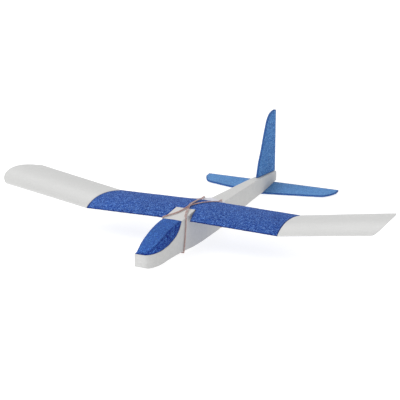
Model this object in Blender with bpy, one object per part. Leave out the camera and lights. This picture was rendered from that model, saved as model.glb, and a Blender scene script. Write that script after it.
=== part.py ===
"""A hand-launched glider of expanded bead foam, with its wing held on by rubber bands.

Run with: blender --background --python part.py
The nose points along -Y, +X is the glider's left side and +Z is up. The glider stands on its belly
and its tailplane. Sizes are in millimetres in the glider's own datum: y and z are zero at the
leading edge where the wing's panels join, and the tailplane is level. The stand empty turns and
lifts that datum onto the ground.
"""

import math

import bmesh
import bpy
from mathutils import Vector

MM = 0.001
GAP = 0.3  # glue line or clearance between pieces that touch
ROUND_ANGLE = 30  # degrees up to which faces shade as one surface

# Wing
CHORD = 106.0
CAMBER = 0.062  # share of the chord
CAMBER_PLACE = 0.4
THICKNESS = 0.066  # share of the chord
TRAILING_EDGE = 1.3
INCIDENCE = math.radians(2.4)
SECTION_STEPS = 14
JOINT_X = 149.5  # where the blue centre panel meets the white tip panel
JOINT_SKEW = 2.5  # the joint runs this much inboard from leading to trailing edge
CENTRE_RISE = 4.4  # the wing's middle stands above the panel joints
CENTRE_FORWARD = 3.0
TIP_X = 286.0
TIP_RISE = 22.3
TIP_FORWARD = 4.0
TIP_CHORD = 112.0
TIP_EDGE = (  # y and x along the tip's bowed top edge, from leading to trailing edge
    (-4.0, 285.0),
    (0.0, 289.5),
    (6.0, 293.5),
    (20.0, 297.6),
    (45.0, 299.2),
    (70.0, 297.3),
    (90.0, 293.2),
    (112.0, 286.8),
)
TIP_RAKE = 0.8  # the tip is cut back on its underside, per mm of depth

# Notch in the middle of the leading edge, round the fuselage's hump
NOTCH_REAR_Y = 24.6
NOTCH_HALF_REAR = 15.6
NOTCH_HALF_FRONT = 18.6

# Fuselage, cut from 30 mm sheet
BODY_HALF = 15.1
NOSE_Y = -113.0
NOSE_TOP_Z = -11.5
LEFT_CORNER = (17.0, 32.0)  # the nose is lopsided: a long sweep on the left, across and along
RIGHT_CORNER = (1.2, 1.2)  # and a small round on the right
CHIN_RADIUS = 3.0
CHIN_Z = -31.0
TAPER_Y = 105.0
TAIL_Y = 394.7
TAIL_HALF = 3.4
TAIL_TOP_Z = -35.6
TAIL_FLOOR_Z = -53.5
TAIL_CORNER = 4.5
SEAT_REAR_Y = 93.0
CANOPY_REAR_Y = -21.4
CANOPY_CROWN = 0.5
HUMP_FRONT_Z = 10.0
HUMP_REAR_Z = 12.7
BELLY_FLAT = (50.0, 118.0)  # this stretch and the tailplane carry the glider on the ground
BELLY_FLAT_Z = -45.04
BAND_GROOVE = (118.4, 124.4)  # the foam is pressed in under the rear of the bands
BAND_GROOVE_DEPTH = 2.2

# The boom's top and underside, y and z from front to rear
BOOM_TOP = ((155.0, -12.1), (214.0, -17.0), (300.0, -24.2))
BOOM_UNDERSIDE = ((236.0, -49.6), (300.0, -52.0))
CHIN_LINE = ((-88.0, -31.2), (-57.0, -33.0), (-17.0, -37.3), (20.0, -42.4))

# Tail surfaces
TAIL_SHEET = 3.0
FIN_FRONT_Y = 311.0
FIN_REAR_Y = 392.2
FIN_TOP_Z = 72.9
TAILPLANE_FRONT_Y = 321.0
TAILPLANE_REAR_Y = 386.0
TAILPLANE_HALF = 117.5

# Ballast slug in a pocket under the canopy
SLUG_Y = -90.0
SLUG_RADIUS = 5.7
SLUG_HEIGHT = 11.0
POCKET_CLEARANCE = 0.4

# Strip that keeps the bands from cutting into the wing's trailing edge
GUARD_HALF = 27.0
GUARD_FRONT_Y = 94.5
GUARD_REAR_Y = (108.5, 118.9)  # at its ends and at its peak in the middle
GUARD_THICK = 0.9
GUARD_UPTURN = 0.8  # the free edge curls up this much

# Rubber bands
BAND_RADIUS = 0.7
BAND_SPACING = 1.9  # the two bands lie side by side
BAND_CLEAR = BAND_RADIUS + GAP
BAND_LOW_Y = -18.3  # the front of the bands crosses the belly here
BAND_LOW_Z = -37.7
BAND_HUMP_Y = (-9.5, -18.3)  # and the hump's left and right top edge here
BAND_LEADS = (  # x and y of two points over the hump, for the left run and the right one
    ((9.2, 6.5), (5.5, 21.0)),
    ((-3.3, 4.0), (0.9, 21.0)),
)
BAND_CROSSING = (2.0, 36.0)  # x and y of the crossing on the wing
BAND_REAR_X = (-9.0, 20.0)  # where the two runs pass the trailing edge
BAND_SLACK = 0.6  # further clearance where they turn down behind the guard
BAND_LIFT = 0.25  # and where they run over the hump
BAND_BOW = 1.2  # the front runs bow back this much between belly and hump
BAND_CORNER = 2.6  # the bands round the belly's edges over this height
BAND_STEPS = 3  # between two points of their route

# Cutters reach past the foam they cut
CUTTER_LOW, CUTTER_HIGH = -80.0, 40.0
CUTTER_FRONT_Y = -20.0

COLOURS = {
    "white_foam": (0.80, 0.79, 0.77, 0.75, 0.0),
    "blue_foam": (0.05, 0.13, 0.48, 0.7, 0.0),
    "tail_foam": (0.10, 0.25, 0.58, 0.7, 0.0),
    "steel": (0.45, 0.45, 0.46, 0.4, 1.0),
    "white_plastic": (0.75, 0.76, 0.80, 0.4, 0.0),
    "band_rubber": (0.62, 0.27, 0.22, 0.6, 0.0),
}


def clear_scene():
    for item in list(bpy.data.objects):
        bpy.data.objects.remove(item, do_unlink=True)


def make_materials():
    made = {}
    for name, (red, green, blue, roughness, metallic) in COLOURS.items():
        material = bpy.data.materials.new(name)
        material.use_nodes = True
        shader = material.node_tree.nodes["Principled BSDF"]
        shader.inputs["Base Color"].default_value = (red, green, blue, 1.0)
        shader.inputs["Roughness"].default_value = roughness
        shader.inputs["Metallic"].default_value = metallic
        material.diffuse_color = (red, green, blue, 1.0)
        made[name] = material
    return made


def curve_through(points, steps, closed=False):
    """Points along a smooth curve through the given ones, from end to end or round a loop."""
    ends = [points[-1], *points, *points[:2]] if closed else [points[0], *points, points[-1]]
    found = []
    for i in range(1, len(ends) - 2):
        before, start, end, after = (Vector(p) for p in ends[i - 1 : i + 3])
        for k in range(steps):
            t = k / steps
            bend = 2 * before - 5 * start + 4 * end - after
            twist = 3 * start - before - 3 * end + after
            found.append((2 * start + (end - before) * t + bend * t**2 + twist * t**3) / 2)
    if not closed:
        found.append(Vector(points[-1]))
    return [tuple(p) for p in found]


def arc(centre, radius, start, end, steps):
    """Points on a circle from angle start to angle end, in degrees."""
    found = []
    for i in range(steps + 1):
        angle = math.radians(start + (end - start) * i / steps)
        found.append((centre[0] + radius * math.cos(angle), centre[1] + radius * math.sin(angle)))
    return found


def value_at(points, place):
    """Height of a line of (place, height) points, straight between them."""
    for (a, low), (b, high) in zip(points, points[1:]):
        if a <= place <= b:
            return low + (high - low) * (place - a) / (b - a)
    return points[0][1] if place < points[0][0] else points[-1][1]


def loft(rings, bowed_end=False):
    """A closed solid through rings of equally many points, capped at both ends. A bowed end isn't
    flat, so it is closed with a ladder of faces between the ring's two halves."""
    bm = bmesh.new()
    loops = [[bm.verts.new(Vector(p) * MM) for p in ring] for ring in rings]
    count = len(loops[0])
    for near, far in zip(loops, loops[1:]):
        for i in range(count):
            j = (i + 1) % count
            bm.faces.new((near[i], near[j], far[j], far[i]))
    bm.faces.new(list(reversed(loops[0])))
    end = loops[-1]
    if bowed_end:
        for i in range(count // 2):
            rung = [end[i], end[i + 1], end[count - 2 - i], end[count - 1 - i]]
            bm.faces.new(list(dict.fromkeys(rung)))
    else:
        bm.faces.new(end)
    bmesh.ops.recalc_face_normals(bm, faces=bm.faces)
    return bm


def add_object(name, bm, material=None, smooth_angle=None):
    mesh = bpy.data.meshes.new(name)
    bm.to_mesh(mesh)
    bm.free()
    if smooth_angle:
        mesh.shade_smooth()
        mesh.set_sharp_from_angle(angle=math.radians(smooth_angle))
    item = bpy.data.objects.new(name, mesh)
    bpy.context.scene.collection.objects.link(item)
    if material:
        mesh.materials.append(material)
    return item


def add_cutter(name, bm):
    cutter = add_object(name, bm)
    cutter.hide_render = True
    cutter.display_type = "WIRE"
    return cutter


def cut(item, cutter, operation="DIFFERENCE"):
    modifier = item.modifiers.new(cutter.name, "BOOLEAN")
    modifier.object = cutter
    modifier.operation = operation
    modifier.solver = "EXACT"


def side_prism(outline, half_width):
    """An outline of (y, z) points, as thick as the width."""
    return loft([[(x, y, z) for y, z in outline] for x in (-half_width, half_width)])


def plan_prism(outline, low, high):
    """An outline of (x, y) points, between two heights."""
    return loft([[(x, y, z) for x, y in outline] for z in (low, high)])


# Wing


def wing_section(chord):
    """Points round the wing's cambered section, from the trailing edge over the top and back below."""
    top, bottom = [], []
    for i in range(SECTION_STEPS + 1):
        s = (1 - math.cos(math.pi * i / SECTION_STEPS)) / 2
        thick = 5 * THICKNESS * (
            0.2969 * math.sqrt(s) - 0.126 * s - 0.3516 * s**2 + 0.2843 * s**3 - 0.1036 * s**4
        )
        thick = max(thick * chord, TRAILING_EDGE / 2 * min(1.0, s * 40))
        if s < CAMBER_PLACE:
            share = (2 * CAMBER_PLACE * s - s * s) / CAMBER_PLACE**2
        else:
            share = (1 - 2 * CAMBER_PLACE + 2 * CAMBER_PLACE * s - s * s) / (1 - CAMBER_PLACE) ** 2
        middle = CAMBER * chord * share - math.tan(INCIDENCE) * s * chord
        top.append((s * chord, middle + thick))
        bottom.append((s * chord, middle - thick))
    return list(reversed(top)) + bottom[1:]


def span_point(x):
    """Forward shift, rise and chord of the wing at a distance x from the middle."""
    if x <= JOINT_X:
        out = x / JOINT_X
        return CENTRE_FORWARD * (1 - out), CENTRE_RISE * (1 - out), CHORD
    out = (x - JOINT_X) / (TIP_X - JOINT_X)
    return TIP_FORWARD * out, TIP_RISE * out, CHORD + (TIP_CHORD - CHORD) * out


def wing_ring(side, x, skew=0.0):
    """The wing's section at x, on the left (side 1) or the right (side -1)."""
    ring = []
    _, _, chord = span_point(x)
    for y, z in wing_section(chord):
        place = x - skew * y / chord
        forward, rise, _ = span_point(place) if skew else span_point(x)
        ring.append((side * place, y - forward, z + rise))
    return ring


def wing_underside(y, x):
    """Height of the wing's underside in the datum."""
    forward, rise, chord = span_point(x)
    return value_at(wing_section(chord)[SECTION_STEPS:], y + forward) + rise


def centre_panel(side, name, material):
    rings = [wing_ring(side, GAP / 2), wing_ring(side, JOINT_X - GAP / 2, JOINT_SKEW)]
    panel = add_object(name, loft(rings), material, ROUND_ANGLE)
    slope = (NOTCH_HALF_FRONT - NOTCH_HALF_REAR) / (NOTCH_REAR_Y + CENTRE_FORWARD)
    front_half = NOTCH_HALF_REAR + slope * (NOTCH_REAR_Y - CUTTER_FRONT_Y)
    outline = [(-1.0, CUTTER_FRONT_Y), (front_half, CUTTER_FRONT_Y)]
    outline += [(NOTCH_HALF_REAR, NOTCH_REAR_Y), (-1.0, NOTCH_REAR_Y)]
    outline = [(side * x, y) for x, y in outline]
    notch = add_cutter(name + "_notch_cutter", plan_prism(outline, CUTTER_LOW, CUTTER_HIGH))
    cut(panel, notch)
    return panel, notch


def tip_ring(side):
    """The wing's outer end: bowed in plan along its top edge and cut back underneath."""
    ring = []
    top_z = {}
    for i, (s, _) in enumerate(wing_section(1.0)):
        x = TIP_X
        for _ in range(3):
            forward, _, chord = span_point(x)
            x = value_at(TIP_EDGE, s * chord - forward)
        forward, rise, chord = span_point(x)
        z = wing_section(chord)[i][1] + rise
        top_z.setdefault(round(s, 6), z)
        inset = TIP_RAKE * (top_z[round(s, 6)] - z)
        ring.append((side * (x - inset), s * chord - forward, z))
    return ring


def tip_panel(side, name, material):
    rings = [wing_ring(side, JOINT_X + GAP / 2, JOINT_SKEW), tip_ring(side)]
    return add_object(name, loft(rings, bowed_end=True), material, ROUND_ANGLE)


def guard_rear(x):
    end_y, peak_y = GUARD_REAR_Y
    return peak_y + (end_y - peak_y) * abs(x) / GUARD_HALF


def trailing_edge_guard(material):
    """A thin strip under the middle of the trailing edge, peaked behind it."""
    rings = []
    for x in (-GUARD_HALF, 0.0, GUARD_HALF):
        wing_rear = CHORD - span_point(abs(x))[0]
        rear_y = guard_rear(x)
        front = wing_underside(GUARD_FRONT_Y, abs(x)) - GAP
        under = wing_underside(wing_rear, abs(x)) - GAP
        tops = [(GUARD_FRONT_Y, front), (wing_rear, under), (rear_y, under + GUARD_UPTURN)]
        ring = [(x, y, z - GUARD_THICK) for y, z in tops]
        rings.append(ring + [(x, y, z) for y, z in reversed(tops)])
    return add_object("trailing_edge_guard", loft(rings), material)


# Fuselage and what is glued to it


def body_half(y, side=-1):
    """Half the fuselage's width at y, on the left (side 1) or the right (side -1)."""
    across, along = LEFT_CORNER if side > 0 else RIGHT_CORNER
    ahead = (NOSE_Y + along - y) / along
    if ahead > 0:
        return BODY_HALF - across + across * math.sqrt(max(0.0, 1 - ahead**2))
    if y < TAPER_Y:
        return BODY_HALF
    return BODY_HALF + (TAIL_HALF - BODY_HALF) * (y - TAPER_Y) / (TAIL_Y - TAPER_Y)


def canopy_seat():
    """The step that the canopy sits on, from the nose back to the hump."""
    rise = [(-66.0, NOSE_TOP_Z + 0.2), (-52.5, -9.2), (-42.4, -6.7), (-34.0, -2.9), (-28.0, 2.0)]
    rise.append((CANOPY_REAR_Y, HUMP_FRONT_Z))
    return [(NOSE_Y, NOSE_TOP_Z)] + curve_through(rise, 4)


def belly_slope():
    """Slope of the ground under the glider, from the belly's flat to the tailplane's front edge."""
    tail_z = TAIL_FLOOR_Z - GAP - TAIL_SHEET
    return (tail_z - BELLY_FLAT_Z) / (TAILPLANE_FRONT_Y - BELLY_FLAT[0])


def body_outline():
    """The fuselage's side view, from the nose along the top to the tail and back under the belly."""
    top = canopy_seat()
    top += [(NOTCH_REAR_Y - GAP, HUMP_REAR_Z)]
    steps = 7
    for i in range(steps + 1):
        y = NOTCH_REAR_Y - GAP + (SEAT_REAR_Y - NOTCH_REAR_Y + GAP) * i / steps
        top.append((y, wing_underside(y, BODY_HALF) - GAP))
    top += [(SEAT_REAR_Y + 2.5, -7.5), *BOOM_TOP]
    corner = (TAIL_Y - TAIL_CORNER, TAIL_TOP_Z - TAIL_CORNER)
    top += list(reversed(arc(corner, TAIL_CORNER, 0, 83, 5)))
    belly = [(TAIL_Y, TAIL_FLOOR_Z), (TAILPLANE_FRONT_Y, TAIL_FLOOR_Z), *reversed(BOOM_UNDERSIDE)]
    flat_end_z = BELLY_FLAT_Z + belly_slope() * (BELLY_FLAT[1] - BELLY_FLAT[0])
    belly += [
        (BAND_GROOVE[1] + 0.8, flat_end_z - 0.05),
        (BAND_GROOVE[1], flat_end_z + BAND_GROOVE_DEPTH),
        (BAND_GROOVE[0] + 0.8, flat_end_z + BAND_GROOVE_DEPTH),
        (BELLY_FLAT[1], flat_end_z),
    ]
    chin = [(BELLY_FLAT[0], BELLY_FLAT_Z), *reversed(CHIN_LINE)]
    belly += curve_through(chin, 4)
    belly += list(reversed(arc((NOSE_Y + CHIN_RADIUS, CHIN_Z + CHIN_RADIUS), CHIN_RADIUS, 180, 270, 3)))
    return top + belly


def body_plan():
    outline = []
    steps = 8
    for side in (1, -1):
        across, along = LEFT_CORNER if side > 0 else RIGHT_CORNER
        edge = []
        for i in range(steps + 1):
            angle = math.pi / 2 * i / steps
            x = BODY_HALF - across + across * math.sin(angle)
            edge.append((side * x, NOSE_Y + along * (1 - math.cos(angle))))
        edge += [(side * BODY_HALF, TAPER_Y), (side * TAIL_HALF, TAIL_Y + 1.0)]
        outline += edge if side > 0 else list(reversed(edge))
    return outline


def fuselage(material):
    body = add_object("fuselage", side_prism(body_outline(), BODY_HALF + 2.0), material, ROUND_ANGLE)
    plan = add_cutter("fuselage_plan_cutter", plan_prism(body_plan(), CUTTER_LOW, CUTTER_HIGH))
    cut(body, plan, "INTERSECT")
    pocket_radius = SLUG_RADIUS + POCKET_CLEARANCE
    ring = arc((0.0, SLUG_Y), pocket_radius, 0, 360, 20)[:-1]
    floor = NOSE_TOP_Z - SLUG_HEIGHT - 2 * POCKET_CLEARANCE
    pocket = add_cutter("ballast_pocket_cutter", plan_prism(ring, floor, CUTTER_HIGH))
    cut(body, pocket)
    return body, plan, pocket


def nose_ballast(material):
    top = NOSE_TOP_Z - POCKET_CLEARANCE
    ring = arc((0.0, SLUG_Y), SLUG_RADIUS, 0, 360, 20)[:-1]
    return add_object("nose_ballast", plan_prism(ring, top - SLUG_HEIGHT, top), material, ROUND_ANGLE)


def canopy_ridge():
    """The edges between the canopy's top and sides, from nose to hump: y, how far the left and the
    right edge are from the middle, and z."""
    ridge = [
        (NOSE_Y, 1.5, 10.6, -10.7),
        (-110.5, 5.0, 11.0, -8.4),
        (-106.7, 8.7, 11.4, -4.6),
        (-100.4, 11.3, 11.8, -0.8),
        (-90.8, 12.6, 12.4, 2.5),
        (-75.0, 12.9, 13.3, 5.9),
        (-60.0, 13.0, 13.9, 8.4),
        (-40.0, 12.9, 14.4, 10.1),
        (CANOPY_REAR_Y - GAP, 13.4, 14.6, HUMP_FRONT_Z + 0.3),
    ]
    return curve_through(ridge, 3)


def canopy(material):
    seat = canopy_seat()
    rings = []
    for y, left, right, z in canopy_ridge():
        wide_left = body_half(y, 1)
        wide_right = body_half(y)
        left = min(left, wide_left - 0.1)
        right = min(right, wide_right - 0.1)
        low = min(value_at(seat, y) + GAP, z - 0.2)
        middle = (left - right) / 2
        rings.append(
            [
                (-wide_right, y, low),
                (wide_left, y, low),
                (left, y, z),
                (middle, y, z + CANOPY_CROWN),
                (-right, y, z),
            ]
        )
    return add_object("canopy", loft(rings), material, ROUND_ANGLE)


def fin(material):
    root = [
        (FIN_REAR_Y, TAIL_TOP_Z + GAP),
        (BOOM_TOP[-1][0], BOOM_TOP[-1][1] + GAP),
    ]
    front = [
        (FIN_FRONT_Y, value_at(list(reversed(root)), FIN_FRONT_Y)),
        (318.0, -3.0),
        (327.5, 15.7),
        (338.5, 37.9),
        (350.0, 58.3),
        (361.0, 69.0),
        (372.5, 72.4),
        (382.0, FIN_TOP_Z),
    ]
    outline = curve_through(front, 3) + [(FIN_REAR_Y - 0.8, FIN_TOP_Z - 1.6), root[0]]
    return add_object("fin", side_prism(outline, TAIL_SHEET / 2), material, ROUND_ANGLE)


def tailplane(material):
    top = TAIL_FLOOR_Z - GAP
    front = [(0.0, TAILPLANE_FRONT_Y), (6.0, 323.0), (53.0, 334.0), (74.0, 339.0)]
    corner = [(100.0, 346.0), (106.5, 351.0), (114.0, 363.0), (TAILPLANE_HALF, 373.0)]
    edge = front + curve_through(corner, 4) + [(TAILPLANE_HALF, TAILPLANE_REAR_Y)]
    outline = edge + [(-x, y) for x, y in reversed(edge[1:])]
    return add_object("tailplane", plan_prism(outline, top - TAIL_SHEET, top), material)


# Rubber bands


def wing_top(y, x):
    forward, rise, chord = span_point(abs(x))
    above = list(reversed(wing_section(chord)[: SECTION_STEPS + 1]))
    return value_at(above, y + forward) + rise


def hump_top(y):
    return value_at([(CANOPY_REAR_Y, HUMP_FRONT_Z), (NOTCH_REAR_Y - GAP, HUMP_REAR_Z)], y)


def band_route(shift):
    """One closed loop: under the belly, crossing over the wing's top, and round the boom behind it.
    The shift moves the whole band sideways to its run, so that two bands lie side by side."""
    side = BODY_HALF + BAND_CLEAR
    rear_y = sum(BAND_GROOVE) / 2
    rear_side = body_half(BAND_GROOVE[0]) + BAND_CLEAR + GAP
    flat_end_z = BELLY_FLAT_Z + belly_slope() * (BELLY_FLAT[1] - BELLY_FLAT[0])
    rear_low = flat_end_z + BAND_GROOVE_DEPTH - BAND_CLEAR
    low = BAND_LOW_Z - BAND_CLEAR
    flat = BAND_CLEAR + 0.15
    crossed = flat + 2 * BAND_RADIUS + GAP

    def half_loop(hand, lift, hump_y, leads, rear_x):
        """Up one side in front, over the wing and down the other side behind."""
        front_x = hand * side
        back_x = -hand * rear_side
        hump = hump_top(hump_y) + BAND_CLEAR + BAND_LIFT
        (near_x, near_y), (far_x, far_y) = leads
        cross_x, cross_y = BAND_CROSSING
        turn_x = rear_x * 0.75 + back_x * 0.25
        turn_y = guard_rear(turn_x) + BAND_CLEAR + BAND_SLACK
        over_wing = [
            (0.0, cross_y, lift),
            (0.33, cross_y + 21.0, flat),
            (0.67, cross_y + 44.0, flat),
            (1.0, CHORD - CENTRE_FORWARD - 2.0, flat + 0.3),
        ]
        wing_run = []
        for share, y, above in over_wing:
            x = cross_x + (rear_x - cross_x) * share
            wing_run.append((x, y, wing_top(y, x) + above, 1, 0))
        # x, y and z of each point, and how far the shift moves it across (x) and along (y)
        route = [
            (hand * (side - 3.5), BAND_LOW_Y, low, 0, 1),
            (front_x, BAND_LOW_Y + 0.4, low + BAND_CORNER, 0, 1),
            (front_x, (BAND_LOW_Y + hump_y) / 2 + BAND_BOW, (low + hump) / 2, 0, 1),
            (front_x, hump_y - 0.4, hump - 2.2, 0, 1),
            (hand * (side - BAND_CORNER), hump_y + 3.0, hump + 0.2, 0.7, 0.7),
            (near_x, near_y, hump_top(near_y) + BAND_CLEAR + BAND_LIFT, 1, 0.3),
            (far_x, far_y, HUMP_REAR_Z + (flat + lift) / 2 + BAND_LIFT, 1, 0.2),
            *wing_run,
            (turn_x, turn_y, 0.9, 0.9, 0.4),
            (rear_x * 0.4 + back_x * 0.6, turn_y + 2.7, -3.2, 0.6, 0.8),
            (back_x, rear_y - 2.4, -11.0, 0, 1),
            (back_x, rear_y - 0.8, -28.0, 0, 1),
            (back_x, rear_y, rear_low + BAND_CORNER, 0, 1),
            (-hand * (rear_side - 3.5), rear_y, rear_low, 0, 1),
        ]
        return [(x + hand * shift * a, y + shift * b, z) for x, y, z, a, b in route]

    first = half_loop(1, crossed, BAND_HUMP_Y[0], BAND_LEADS[0], BAND_REAR_X[0])
    second = half_loop(-1, flat, BAND_HUMP_Y[1], BAND_LEADS[1], BAND_REAR_X[1])
    return first + list(reversed(second))


def rubber_band(name, shift, material):
    loop = curve_through(band_route(shift), BAND_STEPS, closed=True)
    data = bpy.data.curves.new(name, "CURVE")
    data.dimensions = "3D"
    data.bevel_depth = BAND_RADIUS * MM
    data.bevel_resolution = 2
    spline = data.splines.new("POLY")
    spline.points.add(len(loop) - 1)
    for point, place in zip(spline.points, loop):
        point.co = (*(Vector(place) * MM), 1.0)
    spline.use_cyclic_u = True
    spline.use_smooth = True
    data.materials.append(material)
    item = bpy.data.objects.new(name, data)
    bpy.context.scene.collection.objects.link(item)
    return item


def set_on_ground(pieces):
    """Turns the datum so that belly and tailplane touch the ground, and centres the glider on it."""
    stand = bpy.data.objects.new("stand", None)
    bpy.context.scene.collection.objects.link(stand)
    for piece in pieces:
        piece.parent = stand
    pitch = -math.atan(belly_slope())
    stand.rotation_euler = (pitch, 0.0, 0.0)
    nose = Vector((0.0, NOSE_Y, -22.0)) * MM
    tail = Vector((0.0, TAIL_Y, TAIL_FLOOR_Z)) * MM
    belly = Vector((0.0, BELLY_FLAT[0], BELLY_FLAT_Z)) * MM
    bpy.context.view_layer.update()
    turned = [stand.matrix_world @ p for p in (nose, tail, belly)]
    stand.location = (0.0, -(turned[0].y + turned[1].y) / 2, -turned[2].z)


def main():
    clear_scene()
    materials = make_materials()
    pieces = []
    pieces += fuselage(materials["white_foam"])
    pieces.append(canopy(materials["blue_foam"]))
    pieces.append(nose_ballast(materials["steel"]))
    pieces.append(fin(materials["tail_foam"]))
    pieces.append(tailplane(materials["tail_foam"]))
    for side, hand in ((1, "left"), (-1, "right")):
        pieces += centre_panel(side, "wing_centre_" + hand, materials["blue_foam"])
        pieces.append(tip_panel(side, "wing_tip_" + hand, materials["white_foam"]))
    pieces.append(trailing_edge_guard(materials["white_plastic"]))
    pieces.append(rubber_band("rubber_band_front", -BAND_SPACING / 2, materials["band_rubber"]))
    pieces.append(rubber_band("rubber_band_rear", BAND_SPACING / 2, materials["band_rubber"]))
    set_on_ground(pieces)


main()
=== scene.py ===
import math

import bmesh
import bpy
import numpy as np
from mathutils import Euler, Matrix, Vector, kdtree, noise


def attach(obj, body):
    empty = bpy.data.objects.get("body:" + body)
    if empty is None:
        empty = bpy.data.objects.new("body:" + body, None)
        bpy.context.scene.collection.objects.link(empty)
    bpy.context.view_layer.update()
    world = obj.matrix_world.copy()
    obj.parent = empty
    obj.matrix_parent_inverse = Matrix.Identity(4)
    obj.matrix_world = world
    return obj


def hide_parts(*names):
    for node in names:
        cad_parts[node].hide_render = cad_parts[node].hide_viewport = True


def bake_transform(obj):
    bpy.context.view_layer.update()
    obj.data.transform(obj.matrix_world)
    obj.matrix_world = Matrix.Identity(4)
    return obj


# A foam hand glider. Shapes are made in millimetres in the glider's own datum: y and z are zero at
# the leading edge where the wing's panels join, the nose points to -y and x grows to its left.

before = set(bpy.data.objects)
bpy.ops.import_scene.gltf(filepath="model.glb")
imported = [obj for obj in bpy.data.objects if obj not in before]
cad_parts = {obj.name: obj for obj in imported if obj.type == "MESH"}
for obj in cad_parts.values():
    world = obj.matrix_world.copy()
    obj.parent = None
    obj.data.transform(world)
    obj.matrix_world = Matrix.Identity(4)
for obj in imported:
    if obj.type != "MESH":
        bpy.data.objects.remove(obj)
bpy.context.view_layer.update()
mm = 0.001
seed = 11

# ---- where the datum stands on the ground

stand = {
    "bellyY": 50.0, "bellyZ": -45.04,  # front of the belly's flat
    "restY": 321.0, "restZ": -56.8,  # front edge of the tailplane's underside
    "noseY": -113.0, "noseZ": -22.0,
    "tailY": 394.7, "tailZ": -53.5,
}


def standMatrix():
    slope = (stand["restZ"] - stand["bellyZ"]) / (stand["restY"] - stand["bellyY"])
    turn = Matrix.Rotation(-math.atan(slope), 4, "X")
    nose = turn @ Vector((0, stand["noseY"], stand["noseZ"]))
    tail = turn @ Vector((0, stand["tailY"], stand["tailZ"]))
    belly = turn @ Vector((0, stand["bellyY"], stand["bellyZ"]))
    return Matrix.Translation(Vector((0, -(nose.y + tail.y) / 2, -belly.z)) * mm) @ turn


toGround = standMatrix()
toWorld = toGround @ Matrix.Scale(mm, 4)


# ---- curves and skins


def smoothLine(points, steps, closed=False):
    # points along a smooth curve through the given ones
    ends = [points[-1], *points, *points[:2]] if closed else [points[0], *points, points[-1]]
    found = []
    for i in range(1, len(ends) - 2):
        before, start, end, after = (Vector(p) for p in ends[i - 1 : i + 3])
        for k in range(steps):
            t = k / steps
            bend = 2 * before - 5 * start + 4 * end - after
            twist = 3 * start - before - 3 * end + after
            found.append((2 * start + (end - before) * t + bend * t**2 + twist * t**3) / 2)
    if not closed:
        found.append(Vector(points[-1]))
    return [tuple(p) for p in found]


def smoothPlane(points, steps):
    # the same for (a, b) points
    return [(a, b) for a, b, _ in smoothLine([(a, b, 0) for a, b in points], steps)]


def lineHeight(points, place):
    xs, ys = zip(*points)
    return float(np.interp(place, xs, ys))


def roundedRing(corners, radii, counts):
    # corners (a, b) joined by straight edges of so many points, each corner rounded by its radius
    ring = []
    size = len(corners)
    arcSteps = 4  # points to a rounded corner
    spots = [Vector(c) for c in corners]
    for i in range(size):
        here, ahead = spots[i], spots[(i + 1) % size]
        back, beyond = spots[i - 1], spots[(i + 2) % size]
        reach = (ahead - here).length
        cutHere = min(radii[i], 0.45 * reach, 0.45 * (here - back).length)
        cutAhead = min(radii[(i + 1) % size], 0.45 * reach, 0.45 * (beyond - ahead).length)
        along = (ahead - here).normalized() if reach > 1e-6 else Vector((0, 0))
        backWay = (back - here).normalized() if (back - here).length > 1e-6 else Vector((0, 0))
        start, leave = here + along * cutHere, here + backWay * cutHere
        for k in range(arcSteps):
            t = k / arcSteps
            ring.append(leave * (1 - t) ** 2 + here * 2 * t * (1 - t) + start * t**2)
        stop = ahead - along * cutAhead
        for k in range(counts[i]):
            ring.append(start.lerp(stop, k / counts[i]))
    return [tuple(p) for p in ring]


def addObject(name, data):
    item = bpy.data.objects.new(name, data)
    bpy.context.scene.collection.objects.link(item)
    return item


def skin(name, rings, ends=("flat", "flat")):
    # a closed mesh through rings of (x, y, z) in the datum; a ladder end joins a ring's two halves
    count = len(rings[0])
    verts = [toWorld @ Vector(p) for ring in rings for p in ring]
    faces = []
    for r in range(len(rings) - 1):
        low, high = r * count, (r + 1) * count
        for i in range(count):
            faces.append((low + i, low + (i + 1) % count, high + (i + 1) % count, high + i))
    for end, first in zip(ends, (0, (len(rings) - 1) * count)):
        if end == "flat":
            faces.append(tuple(range(first, first + count)))
            continue
        for i in range(count // 2):
            rung = (first + i, first + i + 1, first + count - 2 - i, first + count - 1 - i)
            faces.append(tuple(dict.fromkeys(rung)))
    mesh = bpy.data.meshes.new(name)
    mesh.from_pydata(verts, [], faces)
    bm = bmesh.new()
    bm.from_mesh(mesh)
    bmesh.ops.remove_doubles(bm, verts=bm.verts, dist=0.00001)
    bmesh.ops.recalc_face_normals(bm, faces=bm.faces)
    if bm.calc_volume(signed=True) < 0:
        bmesh.ops.reverse_faces(bm, faces=bm.faces)
    bm.to_mesh(mesh)
    bm.free()
    return addObject(name, mesh)


def cutAway(item, outline, low, high):
    # takes an upright prism out of the piece
    rings = [[(x, y, z) for x, y in outline] for z in (low, high)]
    cutter = skin(item.name + "Cutter", rings)
    modifier = item.modifiers.new("notch", "BOOLEAN")
    modifier.object, modifier.solver = cutter, "MANIFOLD"
    evaluated = item.evaluated_get(bpy.context.evaluated_depsgraph_get())
    made = bpy.data.meshes.new_from_object(evaluated)
    item.modifiers.clear()
    item.data = made
    bpy.data.objects.remove(cutter)


# ---- the crumbly surface of cut bead foam

foamRelief = {
    "sharpAngle": 0.2,  # radians between faces that make an edge
    "shadeAngle": 0.7,  # and between faces that shade apart
    "edgeReach": 1.3,  # mm from an edge over which beads break out
}


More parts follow.
